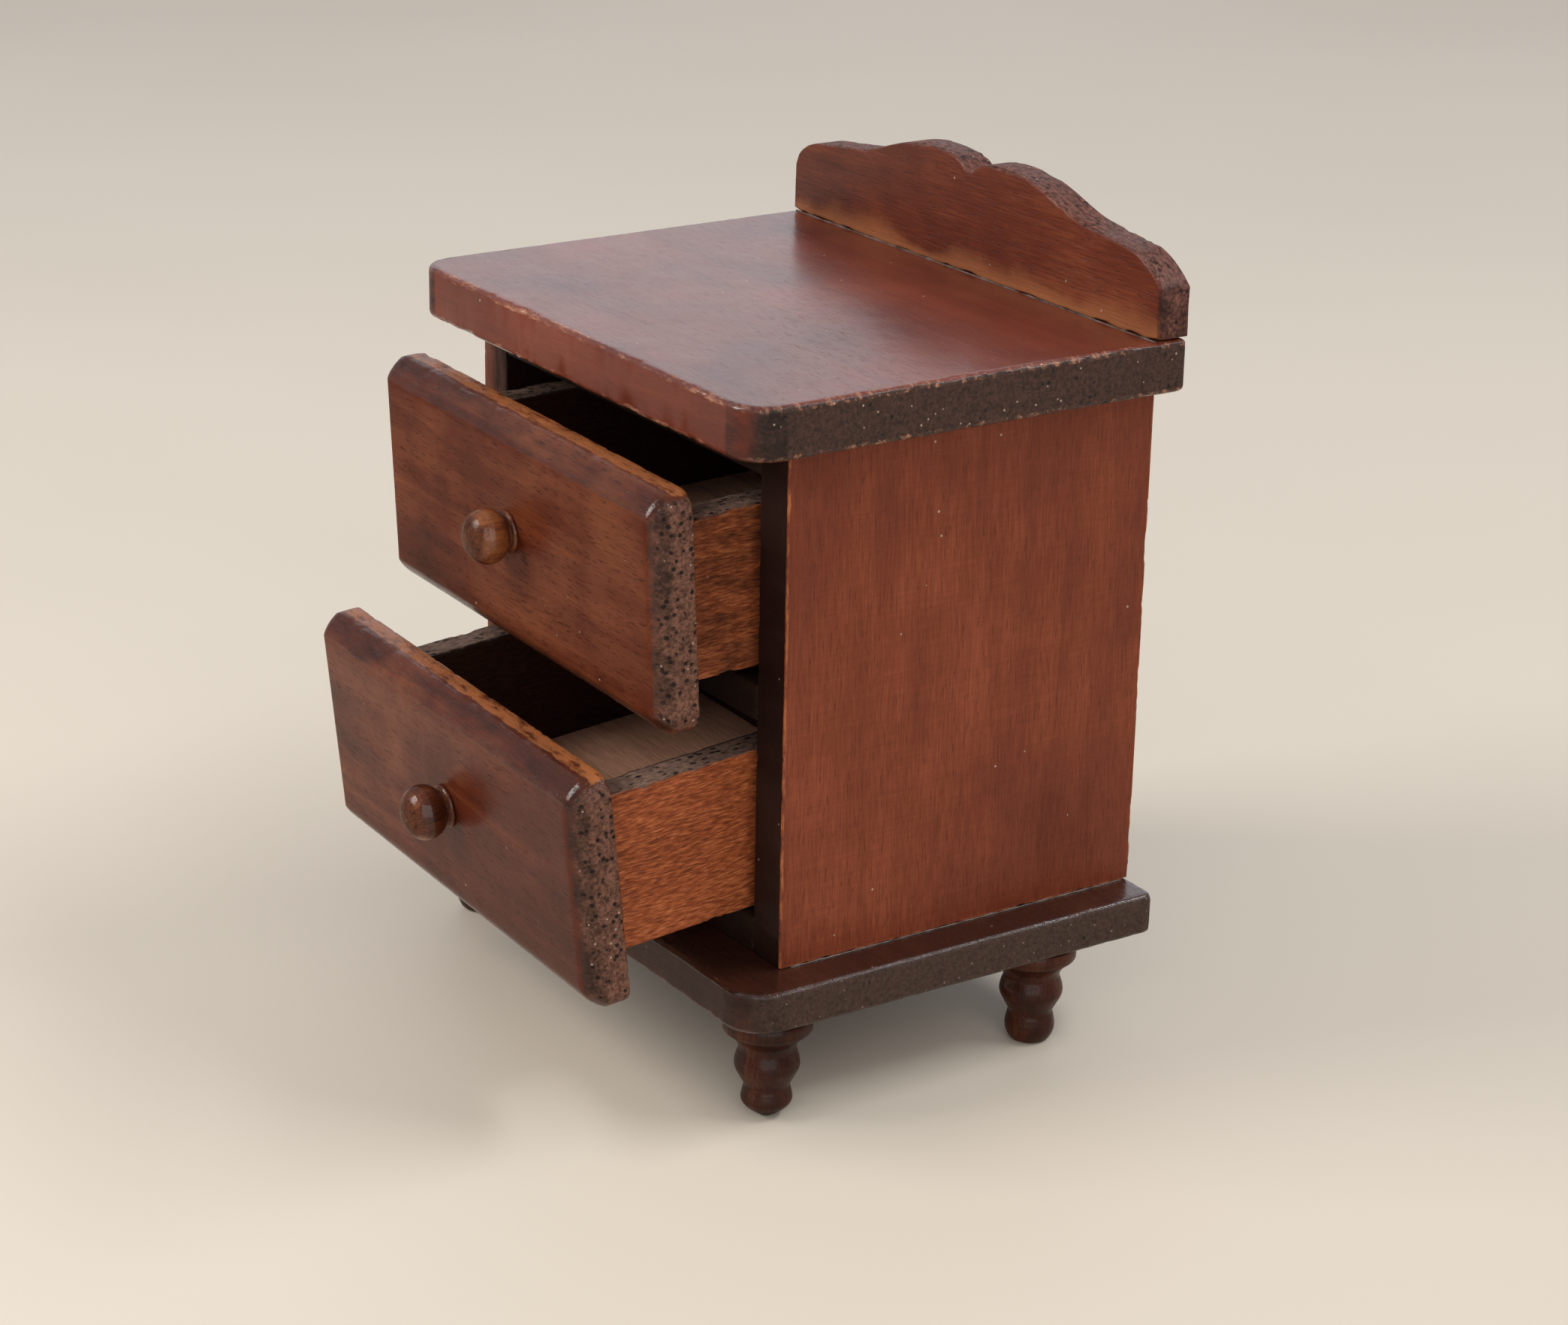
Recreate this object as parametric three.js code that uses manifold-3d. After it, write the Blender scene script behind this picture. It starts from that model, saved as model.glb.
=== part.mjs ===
// A 1:12 dolls house chest of two drawers, in stained hardwood.
// Millimetres, +Z up, the drawers open towards -Y, and +X is the right-hand side seen from the front.
// The origin is on the floor, under the middle of the whole model's box with the drawers part open.
import * as THREE from 'three';
import { mergeVertices } from 'three/addons/utils/BufferGeometryUtils.js';
import Module from 'manifold-3d';

const wasm = await Module();
wasm.setup();

// Driving dimensions. Heights marked "above base" start at the underside of the base board.
const GLUE = 0.02;                     // glue line left between boards that butt together
const CLEAR = 0.3;                     // clearance of a peg in its hole

const LEG = { length: 8.3, x: 22.2, yFront: -17.5, yRear: 7.4, pegRadius: 1.1, pegLength: 2.0 };
const BASE = {
  halfWidth: 25.8, yFront: -21.6, yRear: 16.6, thickness: 3.3, rFront: 3.2, rRear: 0.9, ease: 0.3,
};
const CARCASS = { halfWidth: 22.3, yFront: -16.6, yRear: 16.6, top: 43.9, panel: 3.7, back: 2.0 };
const SHELF = { thickness: 2.85, dividerUnderside: 22.05 };
const TOP = {
  halfWidth: 24.6, yFront: -21.5, yRear: 17.6, thickness: 4.1, rFront: 3.0, rRear: 0.4, ease: 0.3,
};
const GALLERY = {
  halfWidth: 24.6, thickness: 2.8, seat: 0.3, endHeight: 4.3, shoulder: 6.6, crest: 9.4, notch: 8.6,
};

const FRONT = { halfWidth: 21.6, height: 18.5, strip: 1.8, round: 1.6, corner: 0.1 };
const BOX = {
  halfWidth: 17.4, depth: 30.0, height: 12.7, rise: 2.3, side: 2.8, back: 2.5, bottom: 1.6, groove: 1.0,
};
const KNOB = { ball: 2.2, ballHalfLength: 1.8, reach: 1.9, collar: 1.75, neck: 1.35, pegRadius: 0.7 };

// Each drawer sits a little skewed by its play in the bay: it hangs nose down by "tilt" degrees, and its
// left end is turned back by "skew" degrees. It slides straight out, along the slope of its own floor.
// "gap" is the height of its underside over the front edge of the rail below it, and "knobAt" says how far its
// knob is to the right of the middle of its front, and above it.
const DRAWERS = [
  {
    name: 'upper', tilt: 2.7, skew: 1.4, openBy: 5.3, gap: 0.85, knobAt: [-0.6, 0.6],
    rail: SHELF.dividerUnderside + SHELF.thickness,
  },
  {
    name: 'lower', tilt: 5.8, skew: 2.0, openBy: 10.5, gap: 0.15, knobAt: [0, 0.1],
    rail: BASE.thickness + SHELF.thickness,
  },
];
const SHUT_GAP = 0.15;                 // left between a shut drawer front and the carcass

const walnut = new THREE.MeshStandardMaterial({ color: 0x6b3524, roughness: 0.42, metalness: 0 });
const endGrain = new THREE.MeshStandardMaterial({ color: 0x4a2a20, roughness: 0.6, metalness: 0 });
const boxWood = new THREE.MeshStandardMaterial({ color: 0x8a4a2a, roughness: 0.62, metalness: 0 });
const turnedWood = new THREE.MeshStandardMaterial({ color: 0x4c2016, roughness: 0.25, metalness: 0 });

function addPiece(parent, name, geometry, material) {
  const piece = new THREE.Mesh(geometry, material);
  piece.name = name;
  parent.add(piece);
  return piece;
}

// A square-cut board given by its lowest and highest corner.
function board([x0, y0, z0], [x1, y1, z1]) {
  const geometry = new THREE.BoxGeometry(x1 - x0, y1 - y0, z1 - z0);
  return geometry.translate((x0 + x1) / 2, (y0 + y1) / 2, (z0 + z1) / 2);
}

function toSolid(geometry) {
  const bare = geometry.clone();
  bare.deleteAttribute('normal');
  bare.deleteAttribute('uv');
  const merged = mergeVertices(bare, 1e-5);
  const mesh = new wasm.Mesh({
    numProp: 3,
    vertProperties: new Float32Array(merged.attributes.position.array),
    triVerts: new Uint32Array(merged.index.array),
  });
  return new wasm.Manifold(mesh);
}

function cutAway(geometry, ...cutters) {
  let solid = toSolid(geometry);
  for (const cutter of cutters) solid = solid.subtract(toSolid(cutter));
  const { vertProperties, triVerts } = solid.getMesh();
  const result = new THREE.BufferGeometry();
  result.setAttribute('position', new THREE.BufferAttribute(vertProperties, 3));
  result.setIndex(new THREE.BufferAttribute(triVerts, 1));
  result.computeVertexNormals();
  return result;
}

// A rectangle from (x0, y0) to (x1, y1) whose lower and upper corners are rounded.
function roundedOutline(x0, y0, x1, y1, rLower, rUpper) {
  const outline = new THREE.Shape();
  const quarter = Math.PI / 2;
  outline.moveTo(x0 + rLower, y0);
  outline.absarc(x1 - rLower, y0 + rLower, rLower, -quarter, 0);
  outline.absarc(x1 - rUpper, y1 - rUpper, rUpper, 0, quarter);
  outline.absarc(x0 + rUpper, y1 - rUpper, rUpper, quarter, 2 * quarter);
  outline.absarc(x0 + rLower, y0 + rLower, rLower, 2 * quarter, 3 * quarter);
  return outline;
}

// A plate of the given size and thickness whose upper and lower arrises are eased.
function easedPlate({ halfWidth, yFront, yRear, thickness, rFront, rRear, ease }) {
  const outline = roundedOutline(-halfWidth + ease, yFront + ease, halfWidth - ease, yRear - ease,
    rFront - ease, rRear - ease);
  const geometry = new THREE.ExtrudeGeometry(outline, {
    depth: thickness - 2 * ease, curveSegments: 5,
    bevelThickness: ease, bevelSize: ease, bevelSegments: 2,
  });
  return geometry.translate(0, 0, ease);
}

// A turned piece on the Z axis, from [radius, height] points listed from its lower end upwards.
function turned(profile, segments) {
  const points = profile.map(([radius, height]) => new THREE.Vector2(radius, height));
  return new THREE.LatheGeometry(points, segments).rotateX(Math.PI / 2);
}

function pegHole(radius, x, y, z0, z1) {
  const hole = new THREE.CylinderGeometry(radius, radius, z1 - z0, 16).rotateX(Math.PI / 2);
  return hole.translate(x, y, (z0 + z1) / 2);
}

const legPlaces = [-1, 1].flatMap((side) => [
  { name: `leg_front_${side < 0 ? 'left' : 'right'}`, x: side * LEG.x, y: LEG.yFront },
  { name: `leg_rear_${side < 0 ? 'left' : 'right'}`, x: side * LEG.x, y: LEG.yRear },
]);

// A short turned leg: a disc under the base, a cove, two bulbs and a flat foot, with a peg above.
function legGeometry() {
  const underside = -GLUE;
  return turned([
    [0, -LEG.length], [1.25, -LEG.length], [1.7, -7.95], [1.95, -7.3], [1.95, -6.7], [1.8, -6.1], [1.8, -5.7],
    [2.2, -5.0], [2.5, -4.2], [2.45, -3.5], [2.25, -2.9], [2.4, -2.3], [2.85, -1.6], [3.4, -1.05],
    [3.45, underside], [LEG.pegRadius, underside], [LEG.pegRadius, LEG.pegLength], [0, LEG.pegLength],
  ], 20);
}

function baseBoard() {
  const sockets = legPlaces.map(({ x, y }) => (
    pegHole(LEG.pegRadius + CLEAR, x, y, -1, LEG.pegLength + CLEAR)));
  return cutAway(easedPlate(BASE), ...sockets);
}

// The top board, with a shallow seat cut across its rear edge for the gallery.
function topBoard() {
  const plate = easedPlate(TOP);
  const { halfWidth, yRear, thickness } = TOP;
  const seat = board(
    [-halfWidth - 1, yRear - GALLERY.thickness - 2 * GLUE, thickness - GALLERY.seat],
    [halfWidth + 1, yRear + 1, thickness + 1]);
  return cutAway(plate, seat).translate(0, 0, CARCASS.top + GLUE);
}

// The shaped gallery: a low rounded end, a shoulder, then an ogee up to a twin crest with a small notch.
function galleryGeometry() {
  const { halfWidth, thickness, endHeight, shoulder, crest, notch } = GALLERY;
  const outline = new THREE.Shape();
  outline.moveTo(-halfWidth, 0);
  outline.lineTo(halfWidth, 0);
  outline.lineTo(halfWidth, endHeight);
  outline.bezierCurveTo(24.2, 5.6, 22.8, 6.4, 21.0, shoulder);
  outline.bezierCurveTo(19.4, 6.8, 17.4, 7.0, 15.5, 7.25);
  outline.bezierCurveTo(12.8, 7.45, 10.5, 9.0, 7.0, crest);
  outline.bezierCurveTo(5.5, 9.6, 3.6, 9.6, 2.4, crest);
  outline.bezierCurveTo(1.5, 9.3, 0.8, 8.9, 0.4, notch);
  outline.lineTo(-0.4, notch);
  outline.bezierCurveTo(-0.8, 8.9, -1.5, 9.3, -2.4, crest);
  outline.bezierCurveTo(-3.6, 9.6, -5.5, 9.6, -7.0, crest);
  outline.bezierCurveTo(-10.5, 9.0, -12.8, 7.45, -15.5, 7.25);
  outline.bezierCurveTo(-17.4, 7.0, -19.4, 6.8, -21.0, shoulder);
  outline.bezierCurveTo(-22.8, 6.4, -24.2, 5.6, -halfWidth, endHeight);
  const geometry = new THREE.ExtrudeGeometry(outline, {
    depth: thickness, curveSegments: 5, bevelEnabled: false,
  });
  const seatHeight = CARCASS.top + TOP.thickness - GALLERY.seat + 2 * GLUE;
  return geometry.rotateX(Math.PI / 2).translate(0, TOP.yRear, seatHeight);
}

function carcass() {
  const body = new THREE.Group();
  const { halfWidth, yFront, yRear, top, panel, back } = CARCASS;
  const floor = BASE.thickness + GLUE;
  const inner = halfWidth - panel - GLUE;
  for (const [name, x0, x1] of [
    ['side_panel_left', -halfWidth, -halfWidth + panel],
    ['side_panel_right', halfWidth - panel, halfWidth],
  ]) addPiece(body, name, board([x0, yFront, floor], [x1, yRear, top]), walnut);
  addPiece(body, 'back_panel', board([-inner, yRear - back, floor], [inner, yRear, top]), boxWood);
  for (const [name, z0] of [
    ['bottom_shelf', floor],
    ['divider_shelf', SHELF.dividerUnderside],
    ['top_shelf', top - SHELF.thickness],
  ]) {
    const shelf = board([-inner, yFront, z0], [inner, yRear - back - GLUE, z0 + SHELF.thickness - GLUE]);
    addPiece(body, name, shelf, boxWood);
  }
  addPiece(body, 'base_board', baseBoard(), endGrain);
  addPiece(body, 'top_board', topBoard(), walnut);
  addPiece(body, 'gallery', galleryGeometry(), walnut);
  for (const { name, x, y } of legPlaces) {
    addPiece(body, name, legGeometry(), turnedWood).position.set(x, y, 0);
  }
  return body;
}

// A drawer front: flat behind, with a square strip and then a broad quarter-round on all four front edges.
function drawerFront(knobX, knobZ) {
  const { halfWidth, height, strip, round, corner } = FRONT;
  const outline = roundedOutline(
    -halfWidth + round, round, halfWidth - round, height - round, corner, corner);
  const block = new THREE.ExtrudeGeometry(outline, {
    depth: 2 * strip, curveSegments: 3, bevelThickness: round, bevelSize: round, bevelSegments: 4,
  }).translate(0, 0, -strip);
  const rearHalf = board([-halfWidth - 1, -1, -strip - round - 1], [halfWidth + 1, height + 1, 0]);
  const hole = pegHole(KNOB.pegRadius + CLEAR, knobX, knobZ, -1, strip + round + 1);
  return cutAway(block, rearHalf, hole).rotateX(Math.PI / 2);
}

// A turned knob: a peg through the front, a thin collar, a neck and a slightly flattened ball.
function knobGeometry(knobX, knobZ) {
  const thickness = FRONT.strip + FRONT.round;
  const { ball, ballHalfLength, reach, collar, neck, pegRadius } = KNOB;
  const profile = [[0, -thickness + CLEAR], [pegRadius, -thickness + CLEAR], [pegRadius, GLUE]];
  profile.push([collar, GLUE], [collar, 0.3], [neck, 0.45]);
  const steps = 9;
  const startAngle = -Math.acos(neck / ball);
  for (let i = 0; i <= steps; i += 1) {
    const angle = startAngle + (Math.PI / 2 - startAngle) * (i / steps);
    profile.push([i === steps ? 0 : ball * Math.cos(angle), reach + ballHalfLength * Math.sin(angle)]);
  }
  return turned(profile, 20).rotateX(Math.PI / 2).translate(knobX, -thickness, knobZ);
}

// A drawer in its own level frame: the rear face of its front is at y = 0, and its lower edge is at z = 0.
function drawer({ name, tilt, skew, openBy, gap, knobAt, rail }) {
  const group = new THREE.Group();
  const { halfWidth, depth, height, rise, side, back, bottom, groove } = BOX;
  const inner = halfWidth - side - GLUE;
  const foot = rise + groove;
  const [knobX, knobZ] = [knobAt[0], FRONT.height / 2 + knobAt[1]];
  addPiece(group, `${name}_drawer_front`, drawerFront(knobX, knobZ), walnut);
  addPiece(group, `${name}_drawer_knob`, knobGeometry(knobX, knobZ), turnedWood);
  for (const [hand, x0, x1] of [
    ['left', -halfWidth, -halfWidth + side],
    ['right', halfWidth - side, halfWidth],
  ]) {
    const wall = board([x0, GLUE, rise], [x1, depth, rise + height]);
    addPiece(group, `${name}_drawer_side_${hand}`, wall, boxWood);
  }
  addPiece(group, `${name}_drawer_back`,
    board([-inner, depth - back, rise], [inner, depth, rise + height]), boxWood);
  addPiece(group, `${name}_drawer_bottom`,
    board([-inner, GLUE, foot], [inner, depth - back - GLUE, foot + bottom]), boxWood);

  const slope = THREE.MathUtils.degToRad(tilt);
  const turn = THREE.MathUtils.degToRad(skew);
  const shutY = CARCASS.yFront - SHUT_GAP - FRONT.halfWidth * Math.sin(turn);
  const shutZ = rail + gap - rise * Math.cos(slope) - (CARCASS.yFront - shutY) * Math.tan(slope);
  group.rotation.set(slope, 0, -turn, 'ZXY');
  group.position.set(
    -depth / 2 * Math.sin(turn),
    shutY - openBy * Math.cos(slope),
    shutZ - openBy * Math.sin(slope));
  return group;
}

const chest = new THREE.Group();
chest.add(carcass(), ...DRAWERS.map(drawer));
chest.position.z = LEG.length;

const extent = new THREE.Box3().setFromObject(chest, true);
chest.position.y = -(extent.min.y + extent.max.y) / 2;

export default chest;
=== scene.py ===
# The looks of a 1:12 dolls house chest of two drawers: stained and lacquered boards, turned legs and knobs.
# Every piece is built in millimetres round its own middle and placed where the frame's CAD box is.
import math

import bpy
from mathutils import Matrix, Vector, noise


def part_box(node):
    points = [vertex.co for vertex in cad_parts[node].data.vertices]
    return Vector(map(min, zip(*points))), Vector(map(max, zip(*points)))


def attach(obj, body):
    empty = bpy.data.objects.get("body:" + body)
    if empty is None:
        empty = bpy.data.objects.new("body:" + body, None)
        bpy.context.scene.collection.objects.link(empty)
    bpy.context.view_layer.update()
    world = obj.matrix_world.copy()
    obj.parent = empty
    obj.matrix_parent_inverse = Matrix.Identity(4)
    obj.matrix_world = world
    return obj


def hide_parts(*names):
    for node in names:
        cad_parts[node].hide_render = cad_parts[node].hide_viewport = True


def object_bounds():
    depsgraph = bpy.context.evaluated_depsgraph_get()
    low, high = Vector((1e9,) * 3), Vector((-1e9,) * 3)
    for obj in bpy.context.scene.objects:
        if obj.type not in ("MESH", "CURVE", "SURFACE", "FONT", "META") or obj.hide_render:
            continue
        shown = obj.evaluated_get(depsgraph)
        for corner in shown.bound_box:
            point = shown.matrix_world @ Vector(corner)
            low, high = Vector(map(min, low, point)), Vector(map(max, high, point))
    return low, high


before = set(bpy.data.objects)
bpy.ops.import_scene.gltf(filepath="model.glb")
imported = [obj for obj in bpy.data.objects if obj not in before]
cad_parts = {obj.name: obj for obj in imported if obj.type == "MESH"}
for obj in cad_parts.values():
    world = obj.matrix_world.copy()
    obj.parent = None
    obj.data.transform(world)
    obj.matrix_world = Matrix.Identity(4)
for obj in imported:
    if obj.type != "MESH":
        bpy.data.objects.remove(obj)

MM = 0.001
CAD_LOW, CAD_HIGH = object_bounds()


# ---------------------------------------------------------------- placing

def level_turn(node):
    """The turn of a square-cut board, from the three directions that its own faces look in."""
    normals = [face.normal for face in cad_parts[node].data.polygons]
    looks = [max(normals, key=lambda normal: normal[i]) for i in range(3)]
    return Matrix(looks).transposed().to_4x4()


def level_box(node, turn):
    """A node's box in millimetres, as (middle, size), in the frame that its body is level in."""
    back = turn.inverted()
    points = [back @ v.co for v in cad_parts[node].data.vertices]
    low = Vector([min(p[i] for p in points) for i in range(3)])
    high = Vector([max(p[i] for p in points) for i in range(3)])
    return (low + high) / (2 * MM), (high - low) / MM


LEVEL = Matrix.Identity(4)
TURNS = {
    "carcass": LEVEL,
    "upper_drawer": level_turn("upper_drawer_back"),
    "lower_drawer": level_turn("lower_drawer_back"),
}


# ---------------------------------------------------------------- outlines

class RoundedRectangle:
    """A rectangle round the origin with rounded corners. point(i, dx, dy) is its i-th point, inset."""

    def __init__(self, width, height, radii, step=0.9):
        self.half = (width / 2, height / 2)
        self.radii = radii
        self.items = []
        signs = ((1, -1), (1, 1), (-1, 1), (-1, -1))
        for k in range(4):
            arc = max(3, round(radii[k] / 0.3))
            start = -90 + 90 * k
            for j in range(arc + 1):
                angle = math.radians(start + 90 * j / arc)
                self.items.append((signs[k], k, angle, None, 0))
            length = height if k % 2 == 0 else width
            sides = max(2, round(length / step))
            for j in range(1, sides):
                self.items.append((signs[k], k, math.radians(start + 90), signs[(k + 1) % 4], j / sides))
        self.count = len(self.items)

    def _corner(self, sign, k, angle, dx, dy):
        rx, ry = (max(self.radii[k] - inset, 0.06) for inset in (dx, dy))
        x = sign[0] * (self.half[0] - dx - rx) + math.cos(angle) * rx
        y = sign[1] * (self.half[1] - dy - ry) + math.sin(angle) * ry
        return Vector((x, y))

    def turns(self, i):
        """Whether point i is on a corner that is wide enough to see."""
        _, k, _, other, _ = self.items[i]
        return other is None and self.radii[k] > 1

    def point(self, i, dx, dy):
        sign, k, angle, other, share = self.items[i]
        here = self._corner(sign, k, angle, dx, dy)
        if other is None:
            return here
        return here.lerp(self._corner(other, (k + 1) % 4, angle, dx, dy), share)


class ShapedOutline:
    """A closed outline given as points listed anticlockwise, inset along its own normals."""

    def __init__(self, points):
        self.points = [Vector(p) for p in points]
        self.count = len(points)

    def point(self, i, dx, dy):
        before, here, after = self.points[i - 1], self.points[i], self.points[(i + 1) % self.count]
        along = (after - before).normalized()
        return here + Vector((-along.y * dx, along.x * dy))


def bezier(p0, p1, p2, p3, steps):
    """Points of a cubic curve, without its first one."""
    found = []
    for i in range(1, steps + 1):
        t = i / steps
        a, b, c, d = (1 - t) ** 3, 3 * t * (1 - t) ** 2, 3 * t * t * (1 - t), t ** 3
        found.append(tuple(a * p0[k] + b * p1[k] + c * p2[k] + d * p3[k] for k in range(2)))
    return found


# ---------------------------------------------------------------- meshes

def new_piece(name, vertices, faces):
    """A smooth shaded object from vertices in millimetres round its own middle."""
    mesh = bpy.data.meshes.new(name)
    mesh.from_pydata([v * MM for v in vertices], [], faces)
    mesh.validate()
    mesh.update()
    mesh.shade_smooth()
    piece = bpy.data.objects.new(name, mesh)
    bpy.context.scene.collection.objects.link(piece)
    return piece


def settle(piece, place, body, *nodes):
    """Moves a piece's vertices to its place in millimetres, to ride on a body in the stead of CAD nodes."""
    placed = place.copy()
    placed.translation = placed.translation * MM
    piece.data.transform(placed)
    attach(piece, body)
    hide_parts(*nodes)


def store(piece, name, kind, values):
    attribute = piece.data.attributes.new(name, kind, "POINT")
    field = "vector" if kind == "FLOAT_VECTOR" else "value"
    flat = [x for v in values for x in v] if kind == "FLOAT_VECTOR" else values
    attribute.data.foreach_set(field, flat)


GRAIN_SHIFT = (37, 61, 83)


def mark_wood(piece, along, seed, wear=None, shade=None, lacquer=None, open_axes=()):
    """Stores what the wood materials read, for a piece that isn't in its place yet.

    It is the place in millimetres with the grain along X, the same shifted so that no two pieces match, how
    far the surface shows open grain, and how worn, how dark and how thickly lacquered it is; the darkness
    is dark stain and grime on some parts and painted shade on others. Open grain shows at the ends, and on
    faces that look along open_axes."""
    order = [along] + [i for i in range(3) if i != along]
    places = [[v.co[i] / MM for i in order] for v in piece.data.vertices]
    store(piece, "place", "FLOAT_VECTOR", places)
    grain = [[at + shift * seed for at, shift in zip(place, GRAIN_SHIFT)] for place in places]
    store(piece, "grain", "FLOAT_VECTOR", grain)
    cut_axes = (along, *open_axes)
    ends = [max(abs(n.vector[i]) for i in cut_axes) for n in piece.data.vertex_normals]
    store(piece, "end", "FLOAT", ends)
    store(piece, "wear", "FLOAT", wear or [0.0] * len(places))
    store(piece, "shade", "FLOAT", shade or [0.0] * len(places))
    store(piece, "lacquer", "FLOAT", lacquer or [1.0] * len(places))


def loft(name, outline, profile, axes, rough=0.0, seed=0):
    """Rings of the outline joined from the first profile row to the last, with both ends closed.

    A profile row is (inset in x, inset in y, height, how much the roughness moves it)."""
    vertices, faces = [], []
    for inset_x, inset_y, height, loose in profile:
        for i in range(outline.count):
            flat = outline.point(i, inset_x, inset_y)
            if rough and loose:
                sample = Vector((flat.x, flat.y, height)) * 0.55 + Vector((seed * 7.3, 0, 0))
                shake = noise.noise(sample)
                shake += 0.6 * noise.noise(sample * 3.7) + 0.3 * noise.noise(sample * 9.1)
                bite = max(0.0, shake) * rough * loose
                flat = outline.point(i, inset_x + bite, inset_y + bite)
            point = [0.0, 0.0, 0.0]
            point[axes[0]], point[axes[1]], point[axes[2]] = flat.x, flat.y, height
            vertices.append(Vector(point))
    n = outline.count
    for r in range(len(profile) - 1):
        for i in range(n):
            j = (i + 1) % n
            faces.append((r * n + i, r * n + j, (r + 1) * n + j, (r + 1) * n + i))
    faces.append(tuple(reversed(range(n))))
    faces.append(tuple(range((len(profile) - 1) * n, len(profile) * n)))
    x, y, z = (Vector([1 if i == a else 0 for i in range(3)]) for a in axes)
    if x.cross(y).dot(z) < 0:
        faces = [tuple(reversed(f)) for f in faces]
    return new_piece(name, vertices, faces)


def spread(outline, values):
    """One value for each profile row, given to every point of that row's ring."""
    return [value for value in values for _ in range(outline.count)]


EASE_STEPS = 4  # how many steps round an arris


def eased_profile(thickness, arris, band=0.45):
    """The profile of a plate with eased arrises: face, quarter-round, edge, quarter-round, face."""
    half = thickness / 2
    rows = [(arris + band, arris + band, -half, 0)]
    for j in range(EASE_STEPS + 1):
        angle = math.pi / 2 * j / EASE_STEPS
        inset = arris * (1 - math.sin(angle))
        rows.append((inset, inset, -half + arris * (1 - math.cos(angle)), 1 if 0 < j else 0.3))
    rows.append((0, 0, -half + arris + band * 0.6, 0.1))
    return rows + [(dx, dy, -h, loose) for dx, dy, h, loose in reversed(rows)]


def eased_wear():
    """How worn each row of an eased profile is: wholly on the quarter-rounds, not at all elsewhere."""
    half = [0.0] + [1.0] * (EASE_STEPS + 1) + [0.0]
    return half + half[::-1]


def plate(name, node, body, through, along, radii=(0.2,) * 4, arris=0.2, rough=0.0, seed=0, worn=0.0,
          inner=0, dark_from=0.8, shade=0.0, grime=0.0, edge_lacquer=1.0, open_axes=(), band=0.45,
          step=0.9):
    """A board with rounded corners and eased arrises that fills a CAD node's box.

    `through` is its thickness axis. The face that looks to the lower end of that axis is darkened near
    black as painted shade if inner is -1, the other one if it is 1, and so is everything further that way
    than dark_from times half the thickness. shade is painted shade for all the rest, and grime is dirt for
    the edge where it turns a corner."""
    middle, size = level_box(node, TURNS[body])
    axes = [i for i in range(3) if i != through] + [through]
    outline = RoundedRectangle(size[axes[0]], size[axes[1]], radii, step)
    profile = eased_profile(size[through], arris, band)
    piece = loft(name, outline, profile, axes, rough, seed)
    limit = dark_from * size[through] / 2
    shades = []
    for _, _, height, loose in profile:
        # Full painted shade, near black, on the inner side; shade is painted shade for the rest, and grime
        # real dirt at the corners.
        rest = 1.0 if inner and height * inner > limit else shade
        shades += [grime if loose and outline.turns(i) else rest for i in range(outline.count)]
    wear = [worn * w for w in eased_wear()]
    faces = len(profile) // 2 - 2
    lacquer = [1.0] * faces + [edge_lacquer] * 4 + [1.0] * faces
    mark_wood(piece, along, seed, spread(outline, wear), shades, spread(outline, lacquer), open_axes)
    settle(piece, TURNS[body] @ Matrix.Translation(middle), body, node)
    return piece


def turned(name, profile, segments=56):
    """A turned piece on its own Z axis, from (radius, height) points listed upwards."""
    vertices, faces = [], []
    for radius, height in profile:
        for i in range(segments):
            angle = 2 * math.pi * i / segments
            vertices.append(Vector((radius * math.cos(angle), radius * math.sin(angle), height)))
    for r in range(len(profile) - 1):
        for i in range(segments):
            j = (i + 1) % segments
            below, above = r * segments, (r + 1) * segments
            faces.append((below + i, below + j, above + j, above + i))
    faces.append(tuple(reversed(range(segments))))
    faces.append(tuple(range((len(profile) - 1) * segments, len(profile) * segments)))
    return new_piece(name, vertices, faces)


def between(a, b, c, d, t):
    """The share t of the way from b to c, on a smooth line through a, b, c and d."""
    bend = 2 * a - 5 * b + 4 * c - d
    twist = 3 * b - a - 3 * c + d
    return 0.5 * (2 * b + (c - a) * t + bend * t * t + twist * t ** 3)


def smooth_profile(points, steps=5):
    """A smooth line through (radius, height) points."""
    found = [points[0]]
    for i in range(len(points) - 1):
        p0, p1 = points[max(i - 1, 0)], points[i]
        p2, p3 = points[i + 1], points[min(i + 2, len(points) - 1)]
        for j in range(1, steps + 1):
            found.append(tuple(between(p0[k], p1[k], p2[k], p3[k], j / steps) for k in range(2)))
    return found


# ---------------------------------------------------------------- materials

PIT_COLOUR = (0.004, 0.003, 0.002, 1)
# Near black: dark stain and grime, and also painted shade inside the case and the drawers and on the upper
# drawer's sides.
STAIN_AND_SHADE_COLOUR = (0.006, 0.003, 0.002, 1)
DUST_COLOUR = (0.50, 0.38, 0.31, 1)


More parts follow.
